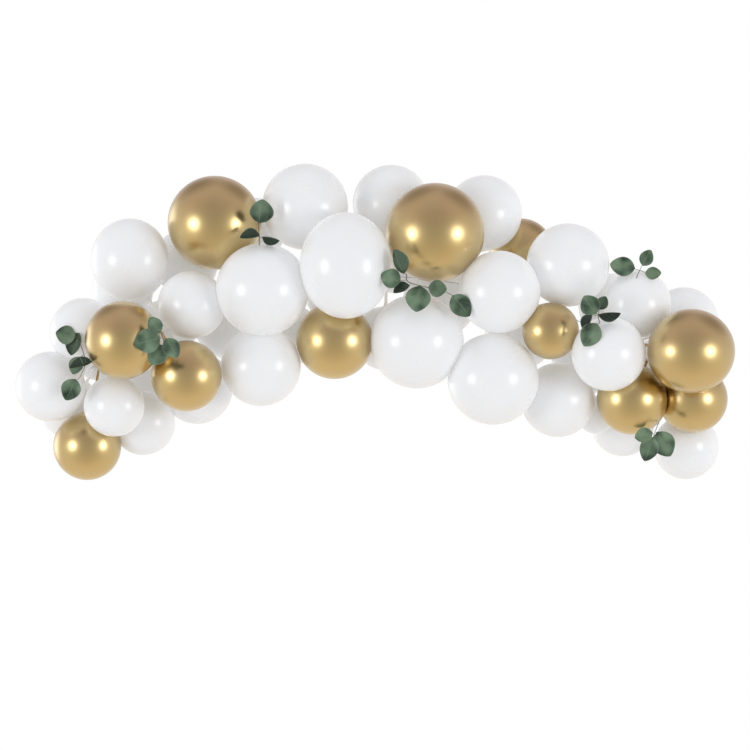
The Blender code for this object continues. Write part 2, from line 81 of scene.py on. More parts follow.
# The form that every balloon is shaped from
ROUND_STEPS = 72
BALL_RINGS = 48
FIRST_RING = 7  # the taper to the neck starts at this ring of the ball
TAPER_RINGS = 9
NECK_STEP = 0.1

# How dense the latex's tint is about the neck
RIM_GATHER = 0.45  # at the taper's start
GATHER_START = 0.46  # the angle off the neck, in radians, at which it starts to fade
GATHER_REACH = 0.7  # the further angle over which it fades out

# Leaves: sizes that are shares are of a leaf's width, unless it says otherwise
LEAF_THICKNESS = 0.0007
LEAF_SPREAD = 1.08  # a leaf's rim over the plain outline that the solids keep
LEAF_BROADEST = 0.86  # below 1, the broadest place moves towards the tip
LEAF_ROUNDNESS = 0.66  # below 1, the outline fills out at both ends
LEAF_LEAST = 0.0009  # half the width that is left at the very ends
LEAF_SHOULDER = 0.03  # how far the rim runs ahead of the midrib, as a share of the length
LEAF_CUP = 0.08  # how far the middle is sunk
MIDRIB_DEPTH = 0.018
MIDRIB_WIDTH = 0.16
RIM_WAVE = 0.014
FOLD_START = 20  # degrees turned edge-on at which a leaf starts to fold and to get painted shade
FOLD_RANGE = 30  # further degrees at which it is fully folded
LEAF_FOLD = 0.45  # how steeply such a leaf is folded along its midrib
STALK_HOLD = 0.12  # how far a stalk runs into its leaf, as a share of the length
LEAF_CLEARANCE = 0.0009  # between a leaf or stem and the skin that it lies on
OPEN_AIR = 1.0  # a depth behind every balloon, for a leaf with none behind it

# Stems and stalks
STEM_RADIUS = 0.0013
STEM_TAPER = 0.6  # the tip's radius over the root's
STALK_RADIUS = 0.0008
STALK_TAPER = 0.7
STEM_STEP = 0.006  # from one point of a stem to the next
STEM_SLOPE = 1.2  # the most that a stem dips into a valley, as depth over length
STEM_LEVEL = 2  # points to either side of a touch that keep its depth
SMOOTHINGS = 3

# The studio
FLOOR_HEIGHT = -1.75
FLOOR_RADIUS = 2.7
VIEW_DISTANCE = 40.0
VIEW_HEIGHT = -0.275
VIEW_WIDTH = 750 / 360  # metres across the picture
SENSOR_WIDTH = 36
LIGHT_TURN = 53.5  # degrees to either side of the camera
LIGHT_DISTANCE = 9.0
LIGHT_SIZE = 3.5
LIGHT_POWER = 185.0
SOFT_TONES = ((0.65, 0.65, 0.65), (0.92, 0.92, 0.92))  # the surround's own light: front, behind
FRONT_SHADE = (0.62, 0.62, 0.62)  # how much darker gloss mirrors what is in front
WINDOW = ((-0.77, 0.64, 0.0), 0.93, (2.2, 2.2, 2.2))  # behind on the left: way, edge, tone
DARK_WAYS = ((-0.36, 0.52, 0.77), (0.52, 0.40, 0.75))  # dark openings, above and behind
DARK_EDGE = 0.86
DARK_TONE = (0.30, 0.26, 0.25)
SURROUND = (  # what gloss mirrors, from straight below to straight above
    (0.0, (0.92, 0.82, 0.68)),
    (0.3, (0.88, 0.80, 0.68)),
    (0.5, (0.80, 0.80, 0.78)),
    (0.72, (0.68, 0.60, 0.61)),
    (1.0, (0.64, 0.56, 0.61)),
)

# Each sprig: the stem's places (along, out) from its root, and its leaves. A leaf has the place
# of its base, its length and width, the way its tip points (0 right, 90 up) and how far it
# is turned edge-on. Lengths are in centimetres and angles in degrees.
SPRIGS = [
    (
        [(-29.6, 12.0), (-29.1, 14.6), (-28.6, 18.2)],
        [
            (-28.4, 17.8, 6.2, 6.9, 82, 27),
            (-28.9, 14.4, 5.2, 5.0, 186, 58),
            (-28.5, 14.0, 4.6, 4.2, -12, 62),
        ],
    ),
    (
        [(8.6, 0.6), (8.8, -1.6), (13.6, -2.4), (19.1, -2.8), (21.8, -3.6)],
        [
            (8.0, 0.6, 6.8, 5.2, 112, 40),
            (7.2, -1.6, 5.4, 5.2, 160, 10),
            (9.8, -2.4, 4.6, 4.0, 205, 48),
            (12.6, -2.2, 6.8, 6.6, 262, 8),
            (15.0, -2.6, 4.8, 4.6, -4, 14),
            (22.0, -3.7, 7.0, 5.6, -50, 10),
        ],
    ),
    (
        [(-82.2, 10.6), (-82.4, 7.6), (-83.2, 4.4), (-84.0, 1.8), (-85.6, 0.6), (-88.0, -0.6)],
        [
            (-82.6, 9.2, 5.2, 5.0, 168, 10),
            (-81.2, 9.6, 6.2, 5.6, 250, 42),
            (-84.8, 4.2, 4.8, 4.2, 252, 25),
            (-82.6, 0.8, 6.0, 4.6, 196, 55),
            (-89.2, -0.2, 6.0, 5.2, 245, 8),
        ],
    ),
    (
        [(-63.6, -7.4), (-62.4, -4.6), (-62.1, -1.8)],
        [
            (-62.4, -2.0, 4.8, 4.2, 122, 20),
            (-62.8, -3.2, 7.0, 6.4, 194, 10),
            (-61.6, -4.0, 5.8, 4.8, -58, 18),
            (-62.8, -5.6, 6.0, 5.6, 232, 12),
        ],
    ),
    (
        [(63.6, 1.8), (62.6, 2.6), (61.8, 5.2)],
        [
            (61.6, 3.4, 5.6, 5.4, 122, 8),
            (60.6, 3.0, 4.8, 4.2, 246, 52),
            (61.8, 5.0, 3.8, 3.4, 62, 20),
            (62.2, 3.6, 5.8, 4.6, 4, 58),
            (63.0, 1.4, 6.8, 5.6, 240, 10),
        ],
    ),
    (
        [(66.7, 17.6), (66.6, 19.2), (66.5, 20.6)],
        [
            (65.4, 19.8, 6.6, 5.2, 170, 15),
            (66.6, 21.4, 4.6, 3.8, 62, 15),
            (68.0, 19.9, 4.2, 3.6, 2, 25),
        ],
    ),
    (
        [(93.8, -12.0), (94.3, -13.6), (95.0, -15.4)],
        [
            (94.4, -15.4, 4.8, 4.2, 196, 18),
            (95.2, -14.4, 7.2, 6.2, -62, 10),
            (95.4, -16.2, 6.6, 5.0, 250, 10),
        ],
    ),
]


def along_strip(along, out, depth=0.0):
    """The point so far along the strip, out from its outer face and behind its middle line."""
    angle = along / ARC_RADIUS
    radius = ARC_RADIUS + out
    return Vector((radius * math.sin(angle), depth, radius * math.cos(angle) - ARC_RADIUS))


def deselect():
    if bpy.context.object and bpy.context.object.mode == "EDIT":
        bpy.ops.object.mode_set(mode="OBJECT")
    bpy.ops.object.select_all(action="DESELECT")


def named(name):
    """The object that the last operator added, under its own name and mesh name."""
    made = bpy.context.object
    made.name = name
    made.data.name = name
    return made


def coordinates(mesh):
    """The places of a mesh's vertices as rows."""
    flat = np.zeros(len(mesh.vertices) * 3)
    mesh.vertices.foreach_get("co", flat)
    return flat.reshape(-1, 3)


def set_coordinates(mesh, rows):
    mesh.vertices.foreach_set("co", np.asarray(rows, float).ravel())
    mesh.update()


# Balloons: size and place


class Balloon:
    """A packed balloon, measured: the middle and halves of its ball, and its knot."""

    def __init__(self, name):
        self.name = name
        corners = np.unique(np.round(coordinates(NODES[name].data), 6), axis=0)
        chance = np.random.default_rng(5)
        agreed = []
        for _ in range(BALL_TRIES):
            ball = fit_ball(corners[chance.choice(len(corners), 5, replace=False)])
            if ball is not None:
                near = corners[off_ball(corners, *ball) < BALL_AGREES]
                agreed = near if len(near) > len(agreed) else agreed
        centre, halves = fit_ball(agreed)
        self.centre = Vector(centre)
        self.half = Vector(halves / CORNER_SWELL)
        self.radius = sum(self.half) / 3
        away = np.linalg.norm(corners - centre, axis=1)
        far = corners[away > away.max() - KNOT_DEPTH]
        self.knot = Vector(far.mean(axis=0))
        self.neck_way = (self.knot - self.centre).normalized()
        self.crease_turn = self.centre.x * 9  # turns the creases of each neck its own way
        self.planes = []

    def reach(self, way):
        """How far the skin reaches from the centre, measured square to a plane that faces way."""
        return Vector(way[i] * self.half[i] for i in range(3)).length


def off_ball(points, centre, halves):
    """How far each point is off the ball's skin, as a share of its radius."""
    return abs(np.linalg.norm((points - centre) / halves, axis=1) - 1)


def fit_ball(points):
    """The middle and halves of the upright oval ball that fits points best, if there is one."""
    x, y, z = points.T
    columns = np.stack([x, y, z, np.ones(len(x)), z**2], axis=1)
    a, b, c, d, stretch = np.linalg.lstsq(columns, -(x**2 + y**2), rcond=None)[0]
    if not BALL_STRETCH[0] < stretch < BALL_STRETCH[1]:
        return None
    centre = np.array([-a / 2, -b / 2, -c / 2 / stretch])
    wide = centre[0] ** 2 + centre[1] ** 2 + stretch * centre[2] ** 2 - d
    if not BALL_RADIUS[0] ** 2 < wide < BALL_RADIUS[1] ** 2:
        return None
    return centre, np.sqrt([wide, wide, wide / stretch])


# Balloons: how they press on each other and where their necks pass


def press(balloons):
    """The flats where balloons press on each other, on necks and on the strip."""
    for i, a in enumerate(balloons):
        for b in balloons[i + 1 :]:
            across = b.centre - a.centre
            way = across.normalized()
            spare = across.length - a.reach(way) - b.reach(way)
            if spare < 0:
                for one, facing in ((a, way), (b, -way)):
                    one.planes.append((facing, one.reach(facing) + spare / 2 - SKIN_GAP / 2))
    for a in balloons:
        for b in balloons:
            apart = (b.centre - a.centre).length
            if a is not b and apart < NECK_RANGE * (a.radius + b.radius):
                way, distance = clear_of_neck(a, b)
                if distance < a.reach(way):
                    a.planes.append((way, distance))
    end = HALF_ANGLE * ARC_RADIUS
    for balloon in balloons:
        along = math.atan2(balloon.centre.x, balloon.centre.z + ARC_RADIUS) * ARC_RADIUS
        nearest = along_strip(max(-end, min(end, along)), -STRIP_THICKNESS / 2)
        way = nearest - balloon.centre
        balloon.planes.append((way.normalized(), way.length - STRIP_WIDTH / 2 - SKIN_GAP))


def clear_of_neck(balloon, other):
    """The plane that keeps a balloon's ball off another's neck with the least cut."""
    start = other.centre + other.neck_way * other.reach(other.neck_way)
    bend = start.lerp(other.knot, NECK_BEND)
    balls = ((start, NECK_ROOM * other.radius), (bend, NECK_RADIUS), (other.knot, KNOT_REACH))
    best = None
    for aim in range(NECK_AIMS + 1):
        way = (start.lerp(other.knot, aim / NECK_AIMS) - balloon.centre).normalized()
        room = min(way.dot(p - balloon.centre) - radius for p, radius in balls) - SKIN_GAP
        if best is None or room / balloon.reach(way) > best[1] / balloon.reach(best[0]):
            best = (way, room)
    return best


def soft_least(a, b, width):
    """The lesser of two lengths, with the corner between them rounded off."""
    overlap = np.clip(width - abs(a - b), 0, None)
    return np.minimum(a, b) - overlap**2 / (4 * width)


def skin_length(balloon, ways):
    """How far the pressed skin is from the centre in each direction."""
    full = 1 / np.linalg.norm(ways / np.array(balloon.half), axis=1)
    length = full.copy()
    for normal, distance in balloon.planes:
        slope = ways @ np.array(normal)
        reach = distance / np.maximum(slope, LEAST_SLOPE)
        flat = np.where(slope > LEAST_SLOPE, reach, BEYOND)
        length = soft_least(length, flat, SKIN_ROUNDING)
    return length


def balloon_form():
    """The form that every balloon is shaped from: an open ball with its neck drawn straight up."""
    deselect()
    bpy.ops.mesh.primitive_uv_sphere_add(segments=ROUND_STEPS, ring_count=BALL_RINGS, radius=1)
    form = named("balloon_form")
    rim = math.cos(math.pi * FIRST_RING / BALL_RINGS)
    bpy.ops.object.mode_set(mode="EDIT")
    bpy.ops.mesh.select_all(action="DESELECT")
    bm = bmesh.from_edit_mesh(form.data)
    for vert in bm.verts:
        vert.select_set(vert.co.z > rim + 1e-4)
    bm.select_flush(True)
    bmesh.update_edit_mesh(form.data)
    bpy.ops.mesh.delete(type="VERT")
    bpy.ops.mesh.select_all(action="DESELECT")
    bpy.ops.mesh.select_non_manifold()
    for _ in range(NECK_RINGS):
        bpy.ops.mesh.extrude_region_move(TRANSFORM_OT_translate={"value": (0, 0, NECK_STEP)})
    bpy.ops.mesh.extrude_region_move(TRANSFORM_OT_translate={"value": (0, 0, NECK_STEP)})
    bpy.ops.mesh.merge(type="CENTER")
    bpy.ops.mesh.select_all(action="SELECT")
    bpy.ops.mesh.normals_make_consistent(inside=False)
    bpy.ops.object.mode_set(mode="OBJECT")
    bpy.ops.object.shade_smooth()
    return form


def neck_profile():
    """Each neck ring past the bend: its place between bend and knot, its offset and radius."""
    rings = [(share, 0.0, NECK_RADIUS - NECK_THINNING * share) for share in (0.3, 0.6, 0.85)]
    knot = (  # offset from the knot's place, and radius, in millimetres
        (-4.6, 3.0),
        (-3.9, 4.0),
        (-2.6, 4.7),
        (-1.2, 4.5),
        (-0.3, 3.5),
        (0.3, 3.2),
        (1.0, 3.9),
        (1.7, 4.6),
        (2.5, 4.7),
        (3.0, 4.1),
        (2.9, 3.0),
        (2.3, 1.6),
    )
    return rings + [(1.0, offset / 1000, radius / 1000) for offset, radius in knot]  # metres


PROFILE = neck_profile()
NECK_RINGS = TAPER_RINGS + len(PROFILE)


def shape_balloon(form, balloon):
    """A copy of the form, blown up to a balloon's own size and drawn out to its knot."""
    made = form.copy()
    made.data = form.data.copy()
    bpy.context.collection.objects.link(made)
    made.name = made.data.name = balloon.name.replace("balloon", "skin")
    rows = coordinates(made.data)
    turn = np.arctan2(rows[:, 1], rows[:, 0])
    rim = math.cos(math.pi * FIRST_RING / BALL_RINGS)
    tip_angle = np.arccos(np.clip(rows[:, 2], -1, rim))
    ring = np.round((rows[:, 2] - rim) / NECK_STEP).astype(int)

    way = np.array(balloon.neck_way)
    first = np.array(balloon.neck_way.orthogonal().normalized())
    second = np.cross(way, first)
    outward = np.outer(np.cos(turn), first) + np.outer(np.sin(turn), second)
    ways = np.outer(np.cos(tip_angle), way) + outward * np.sin(tip_angle)[:, None]
    centre = np.array(balloon.centre)
    placed = centre + ways * skin_length(balloon, ways)[:, None]

    start = balloon.reach(balloon.neck_way)
    length = (balloon.knot - balloon.centre).length - start
    bend = start + length * NECK_BEND
    along_skin = way - ways * (ways @ way)[:, None]
    along_skin /= np.linalg.norm(along_skin, axis=1)[:, None]
    lead = NECK_LEAD * balloon.radius
    (folds, depth), (fine_folds, fine_depth) = CREASES
    creases = 1 + depth * np.sin(folds * turn + balloon.crease_turn)
    creases = creases + fine_depth * np.sin(fine_folds * turn)
    end = centre + way * bend + outward * (NECK_RADIUS * creases)[:, None]
    handles = (placed, placed + along_skin * lead, end - way * 0.5 * (bend - start + lead), end)
    for number in range(1, NECK_RINGS + 2):
        on_ring = ring == number
        if number <= TAPER_RINGS:
            placed[on_ring] = bezier(handles, number / TAPER_RINGS)[on_ring]
        elif number <= NECK_RINGS:
            share, offset, radius = PROFILE[number - TAPER_RINGS - 1]
            distance = bend + (1 - NECK_BEND) * length * share + offset
            spread = outward * (radius * (1 + (creases - 1) * 0.8))[:, None]
            placed[on_ring] = (centre + way * distance + spread)[on_ring]
        else:
            placed[on_ring] = centre + way * (start + length + KNOT_END)
    set_coordinates(made.data, placed)
    fade = 1 - np.clip((tip_angle - GATHER_START) / GATHER_REACH, 0, 1)
    neck_gather = RIM_GATHER + (1 - RIM_GATHER) * ring / NECK_RINGS
    gather = np.where(ring > 0, neck_gather, RIM_GATHER * fade**2)
    made.data.attributes.new("gather", "FLOAT", "POINT").data.foreach_set("value", gather)
    return made


def bezier(handles, t):
    """The points at a share of the way along curves with these four handles."""
    a, b, c, d = handles
    u = 1 - t
    return a * u**3 + 3 * b * u**2 * t + 3 * c * u * t**2 + d * t**3


# Strip


def make_strip():
    """The tie strip: a clear band with raised edges and a row of holes, bent on its arc."""
    count = round(2 * HALF_ANGLE * ARC_RADIUS / HOLE_PITCH)
    pitch = 2 * HALF_ANGLE * ARC_RADIUS / count
    deselect()
    bpy.ops.mesh.primitive_circle_add(vertices=16, radius=HOLE_RADIUS)
    strip = named("tie_strip")
    bpy.ops.object.mode_set(mode="EDIT")
    bpy.ops.mesh.select_all(action="SELECT")
    bpy.ops.mesh.extrude_edges_move()
    bm = bmesh.from_edit_mesh(strip.data)
    for vert in (v for v in bm.verts if v.select):
        widest = max(abs(vert.co.x), abs(vert.co.y))
        vert.co.x *= pitch / 2 / widest
        vert.co.y *= (STRIP_WIDTH / 2 - STRIP_EDGE) / widest
    bmesh.update_edit_mesh(strip.data)
    bpy.ops.mesh.select_all(action="SELECT")
    bpy.ops.mesh.normals_make_consistent(inside=False)
    bpy.ops.object.mode_set(mode="OBJECT")
    row = strip.modifiers.new("row", "ARRAY")
    row.count = count
    row.use_merge_vertices = True
    row.merge_threshold = 0.0002
    bpy.ops.object.modifier_apply(modifier="row")

    # The raised edges run along both borders
    bpy.ops.object.mode_set(mode="EDIT")
    border = STRIP_WIDTH / 2 - STRIP_EDGE
    for side in (-1, 1):
        bpy.ops.mesh.select_all(action="DESELECT")
        bm = bmesh.from_edit_mesh(strip.data)
        for edge in bm.edges:
            edge.select_set(all(abs(v.co.y - side * border) < 1e-5 for v in edge.verts))
        bmesh.update_edit_mesh(strip.data)
        outward = (0, side * STRIP_EDGE, 0)
        bpy.ops.mesh.extrude_edges_move(TRANSFORM_OT_translate={"value": outward})
    bpy.ops.mesh.select_all(action="SELECT")
    bpy.ops.mesh.remove_doubles(threshold=MERGE_DISTANCE)
    bpy.ops.mesh.normals_make_consistent(inside=False)
    bpy.ops.object.mode_set(mode="OBJECT")
    wall = strip.modifiers.new("wall", "SOLIDIFY")
    wall.thickness = STRIP_WEB
    wall.offset = 0
    bpy.ops.object.modifier_apply(modifier="wall")
    rows = coordinates(strip.data)
    raised = abs(rows[:, 1]) > STRIP_WIDTH / 2 - 1e-4
    rows[raised, 2] = np.sign(rows[raised, 2]) * STRIP_THICKNESS / 2
    along = rows[:, 0] + pitch / 2 - HALF_ANGLE * ARC_RADIUS
    angle = along / ARC_RADIUS
    radius = ARC_RADIUS - STRIP_THICKNESS / 2 + rows[:, 2]
    bent = [radius * np.sin(angle), rows[:, 1], radius * np.cos(angle) - ARC_RADIUS]
    set_coordinates(strip.data, np.stack(bent, axis=1))
    bpy.ops.object.mode_set(mode="EDIT")
    bpy.ops.mesh.select_all(action="SELECT")
    bpy.ops.mesh.normals_make_consistent(inside=False)
    bpy.ops.object.mode_set(mode="OBJECT")
    bpy.ops.object.shade_smooth_by_angle(angle=math.radians(35))
    return strip


# Leaves and stems, laid on the skins behind them


class Front:
    """What a thing that comes from the front meets first: the balloons' skins."""

    def __init__(self, skins):
        points, faces = [], []
        for skin in skins:
            start = len(points)
            points += [vert.co.copy() for vert in skin.data.vertices]
            faces += [[start + i for i in face.vertices] for face in skin.data.polygons]
        self.tree = BVHTree.FromPolygons(points, faces)

    def depth_at(self, point, margin=0.0):
        """The depth of the skin about a place in the picture, or None over a gap."""
        spots = [(0, 0), (margin, 0), (-margin, 0), (0, margin), (0, -margin)]
        depths = []
        for x, z in spots[: 5 if margin else 1]:
            hit = self.tree.ray_cast(Vector((point.x + x, -2, point.z + z)), Vector((0, 1, 0)))[0]
            if hit is not None:
                depths.append(hit.y)
        return min(depths, default=None)


def steps_between(start, end):
    """Points from start towards end, a step apart, without the end itself."""
    count = max(1, round((end - start).length / STEM_STEP))
    return [start.lerp(end, i / count) for i in range(count)]


def nearest_in(stem, place):
    """The number of the stem's point nearest to a place in the picture."""
    apart = [math.hypot(p.x - place.x, p.z - place.z) for p in stem]
    return apart.index(min(apart))


def lay_stem(places, rests, front):
    """The stem's points, laid on the skins behind it and level with its leaves."""
    corners = [along_strip(along * CM, out * CM) for along, out in places]
    stem = []
    for start, end in zip(corners, corners[1:]):
        stem += steps_between(start, end)
    stem.append(corners[-1])
    for _ in range(SMOOTHINGS):
        for before, point, after in zip(stem, stem[1:], stem[2:]):
            point.xyz = (before + point * 2 + after) / 4
    limits = [(i, front.depth_at(p, 2 * STEM_RADIUS)) for i, p in enumerate(stem)]
    limits = [(i, skin - STEM_RADIUS - LEAF_CLEARANCE) for i, skin in limits if skin is not None]
    limits += [(nearest_in(stem, rest), rest.y) for rest in rests]
    climb = STEM_SLOPE * STEM_STEP
    for i, point in enumerate(stem):
        point.y = min(y + max(abs(i - j) - STEM_LEVEL, 0) * climb for j, y in limits)
    return stem


def leaf_form():
    """The flat sheet that every leaf is shaped from."""
    deselect()
    bpy.ops.mesh.primitive_grid_add(x_subdivisions=14, y_subdivisions=8, size=1)
    return named("leaf_form")


def shape_leaf(form, row, number, front):
    """A copy of the leaf sheet given its outline, cup and fold, and laid on the skins."""
    along, out, length, width, tip, edge_on = row
    length, width = length * CM * LEAF_SPREAD, width * CM * LEAF_SPREAD
    leaf = form.copy()
    leaf.data = form.data.copy()
    bpy.context.collection.objects.link(leaf)
    leaf.name = leaf.data.name = f"leaf_{number}"
    rows = coordinates(leaf.data)
    share = (1 - np.cos(math.pi * (rows[:, 0] + 0.5))) / 2
    across = rows[:, 1] * 2
    outline = np.sin(math.pi * share**LEAF_BROADEST) ** LEAF_ROUNDNESS
    half = np.maximum(width / 2 * outline, LEAF_LEAST)
    x = length * (share + LEAF_SHOULDER * abs(across) * (1 - share))
    hollow = 4 * share * (1 - share)
    y = LEAF_CUP * width * hollow * (1 - across**2)
    y += MIDRIB_DEPTH * width * np.exp(-((across / MIDRIB_WIDTH) ** 2)) * hollow**0.5
    y += RIM_WAVE * width * np.sin(7 * share + 2.1 * number) * across**2 * hollow
    turned = min(max((edge_on - FOLD_START) / FOLD_RANGE, 0), 1)
    y -= LEAF_FOLD * turned * abs(across) * half
    set_coordinates(leaf.data, np.stack([x, y, across * half], axis=1))
    # The share of folding also sets how much painted shade the leaf gets in its finish.
    painted_shade_attribute = leaf.data.attributes.new("turned", "FLOAT", "POINT")
    painted_shade_attribute.data.foreach_set("value", [turned] * len(leaf.data.vertices))
    base = along_strip(along * CM, out * CM)
    point_tip = Matrix.Rotation(math.radians(-tip), 4, "Y")
    turn_edge = Matrix.Rotation(math.radians(edge_on), 4, "X")
    place = Matrix.Translation(base) @ point_tip @ turn_edge
    leaf.data.transform(place)
    heart = place @ Vector((STALK_HOLD * length, 0.4 * LEAF_CUP * width, 0))
    gaps = []
    for vert in leaf.data.vertices:
        skin = front.depth_at(vert.co)
        if skin is not None:
            gaps.append(skin - vert.co.y)
    slide = min(gaps, default=OPEN_AIR) - LEAF_CLEARANCE - LEAF_THICKNESS / 2
    for point in (base, heart):
        point.y += slide
    leaf.data.transform(Matrix.Translation((0, slide, 0)))
    return leaf, base, heart


def tapered_stem(name, points, thick, thin):
    """A round stem through points, thinner towards its end, as a closed mesh."""
    deselect()
    curve = bpy.data.curves.new(name, "CURVE")
    curve.dimensions = "3D"
    curve.bevel_depth = 1
    curve.bevel_resolution = 1
    curve.use_fill_caps = True
    spline = curve.splines.new("POLY")
    spline.points.add(len(points) - 1)
    for i, (target, point) in enumerate(zip(spline.points, points)):
        target.co = (*point, 1)
        target.radius = thick + (thin - thick) * i / (len(points) - 1)
    stem = bpy.data.objects.new(name, curve)
    bpy.context.collection.objects.link(stem)
    stem.select_set(True)
    bpy.context.view_layer.objects.active = stem
    bpy.ops.object.convert(target="MESH")
    bpy.ops.object.mode_set(mode="EDIT")
    bpy.ops.mesh.select_all(action="SELECT")
    bpy.ops.mesh.remove_doubles(threshold=MERGE_DISTANCE)
    bpy.ops.mesh.normals_make_consistent(inside=False)
    bpy.ops.object.mode_set(mode="OBJECT")
    bpy.ops.object.shade_smooth()
    return stem


def make_sprig(name, sprig, form, front, finishes):
    """A stem with its leaves and their stalks, as one piece."""
    places, rows = sprig
    leaves = [shape_leaf(form, row, number, front) for number, row in enumerate(rows)]
    stem_line = lay_stem(places, [base for _, base, _ in leaves], front)
    stem = tapered_stem(name, stem_line, STEM_RADIUS, STEM_RADIUS * STEM_TAPER)
    stem.data.materials.append(finishes["stem"])
    pieces = [stem]
    for number, (leaf, base, heart) in enumerate(leaves):
        joint = stem_line[nearest_in(stem_line, base)]
        leaf.data.transform(Matrix.Translation((0, joint.y - base.y, 0)))
        heart.y += joint.y - base.y
        leaf.data.materials.append(finishes["leaf_face"])
        leaf.data.materials.append(finishes["leaf_back"])
        deselect()
        leaf.select_set(True)
        bpy.context.view_layer.objects.active = leaf
        wall = leaf.modifiers.new("wall", "SOLIDIFY")
        wall.thickness = LEAF_THICKNESS
        wall.offset = 0
        wall.material_offset = 1
        wall.material_offset_rim = 1
        bpy.ops.object.modifier_apply(modifier="wall")
        bpy.ops.object.shade_smooth_by_angle(angle=math.radians(60))
        path = [*steps_between(joint, heart), heart]
        for point in path[1:-1]:
            skin = front.depth_at(point, 2 * STALK_RADIUS)
            if skin is not None:
                point.y = min(point.y, skin - STALK_RADIUS - LEAF_CLEARANCE)
        stalk = tapered_stem(f"stalk_{number}", path, STALK_RADIUS, STALK_RADIUS * STALK_TAPER)
        stalk.data.materials.append(finishes["stem"])
        pieces += [leaf, stalk]
    deselect()
    for piece in pieces:
        piece.select_set(True)
    bpy.context.view_layer.objects.active = stem
    bpy.ops.object.join()
    return stem


# Finishes


def new_group(name, inputs, outputs):
    """An empty node group with its named sockets, and its input and output nodes."""
    group = bpy.data.node_groups.new(name, "ShaderNodeTree")
    for socket, value in inputs:
        made = group.interface.new_socket(socket, in_out="INPUT", socket_type="NodeSocketFloat")
        made.default_value = value
    for socket in outputs:
        group.interface.new_socket(socket, in_out="OUTPUT", socket_type="NodeSocketFloat")
    return group, group.nodes.new("NodeGroupInput"), group.nodes.new("NodeGroupOutput")


def maths(tree, operation, a, b=None):
    """A Math node fed by sockets or plain numbers."""
    node = tree.nodes.new("ShaderNodeMath")
    node.operation = operation
    for socket, value in zip(node.inputs, (a, b)):
        if isinstance(value, bpy.types.NodeSocket):
            tree.links.new(value, socket)
        elif value is not None:
            socket.default_value = value
    return node.outputs[0]


def noise(tree, place, scale, detail=2.0, roughness=0.5):
    """A Noise node over places, at a scale that is a socket or a plain number."""
    node = tree.nodes.new("ShaderNodeTexNoise")
    if isinstance(scale, bpy.types.NodeSocket):
        tree.links.new(scale, node.inputs["Scale"])
    else:
        node.inputs["Scale"].default_value = scale
    node.inputs["Detail"].default_value = detail
    node.inputs["Roughness"].default_value = roughness
    tree.links.new(place, node.inputs["Vector"])
    return node.outputs["Fac"]


def mixed(tree, share, first, second, blend="MIX"):
    """A colour Mix node fed by sockets or plain colours."""
    node = tree.nodes.new("ShaderNodeMix")
    node.data_type = "RGBA"
    node.blend_type = blend
    sockets = (node.inputs[0], node.inputs[6], node.inputs[7])  # the share and the two colours
    for socket, value in zip(sockets, (share, first, second)):
        if isinstance(value, bpy.types.NodeSocket):
            tree.links.new(value, socket)
        elif isinstance(value, tuple):
            socket.default_value = (*value, 1)
        else:
            socket.default_value = value
    return node.outputs[2]


def ranged(tree, value, low, high, to_low, to_high):
    """A value taken from one range to another, and held at its ends."""
    node = tree.nodes.new("ShaderNodeMapRange")
    tree.links.new(value, node.inputs["Value"])
    for socket, number in zip(list(node.inputs)[1:5], (low, high, to_low, to_high)):
        socket.default_value = number
    return node.outputs["Result"]


def bumped(tree, shader, height, distance, strength):
    """Gives a shader a bump from a height."""
    node = tree.nodes.new("ShaderNodeBump")
    node.inputs["Distance"].default_value = distance
    node.inputs["Strength"].default_value = strength
    tree.links.new(height, node.inputs["Height"])
    tree.links.new(node.outputs["Normal"], shader.inputs["Normal"])


def latex_group():
    """Stretched latex: cloudy patches, a fine ripple, and a denser tint where it gathers."""
    inputs = [("Cloud Scale", 14.0), ("Ripple Scale", 120.0), ("Gather", 0.0)]
    group, given, result = new_group("stretched latex", inputs, ("Cloud", "Dense", "Height"))
    place = group.nodes.new("ShaderNodeTexCoord").outputs["Object"]
    cloud = noise(group, place, given.outputs["Cloud Scale"], 3, 0.55)
    ripple = noise(group, place, given.outputs["Ripple Scale"], 2, 0.5)
    dense = maths(group, "MULTIPLY", given.outputs["Gather"], given.outputs["Gather"])
    cloudy = maths(group, "MULTIPLY", ranged(group, cloud, 0.4, 0.7, 0, 1), 0.15)
    height = maths(group, "ADD", cloud, maths(group, "MULTIPLY", ripple, 0.05))
    group.links.new(ranged(group, cloud, 0.3, 0.7, 0, 1), result.inputs["Cloud"])
    group.links.new(maths(group, "ADD", dense, cloudy), result.inputs["Dense"])
    group.links.new(height, result.inputs["Height"])
    return group


def grain_group():
    """A fine speckle and broader patches, for leaves, stems and the strip."""
    inputs = [("Scale", 300.0), ("Amount", 0.5)]
    group, given, result = new_group("fine grain", inputs, ("Speckle", "Patches"))
    place = group.nodes.new("ShaderNodeTexCoord").outputs["Object"]
    speckle = noise(group, place, given.outputs["Scale"], 4, 0.65)
    speckle = maths(group, "MULTIPLY", speckle, given.outputs["Amount"])
    group.links.new(speckle, result.inputs["Speckle"])
    patches = ranged(group, noise(group, place, 45, 2, 0.5), 0.35, 0.65, 0, 1)
    group.links.new(patches, result.inputs["Patches"])
    return group


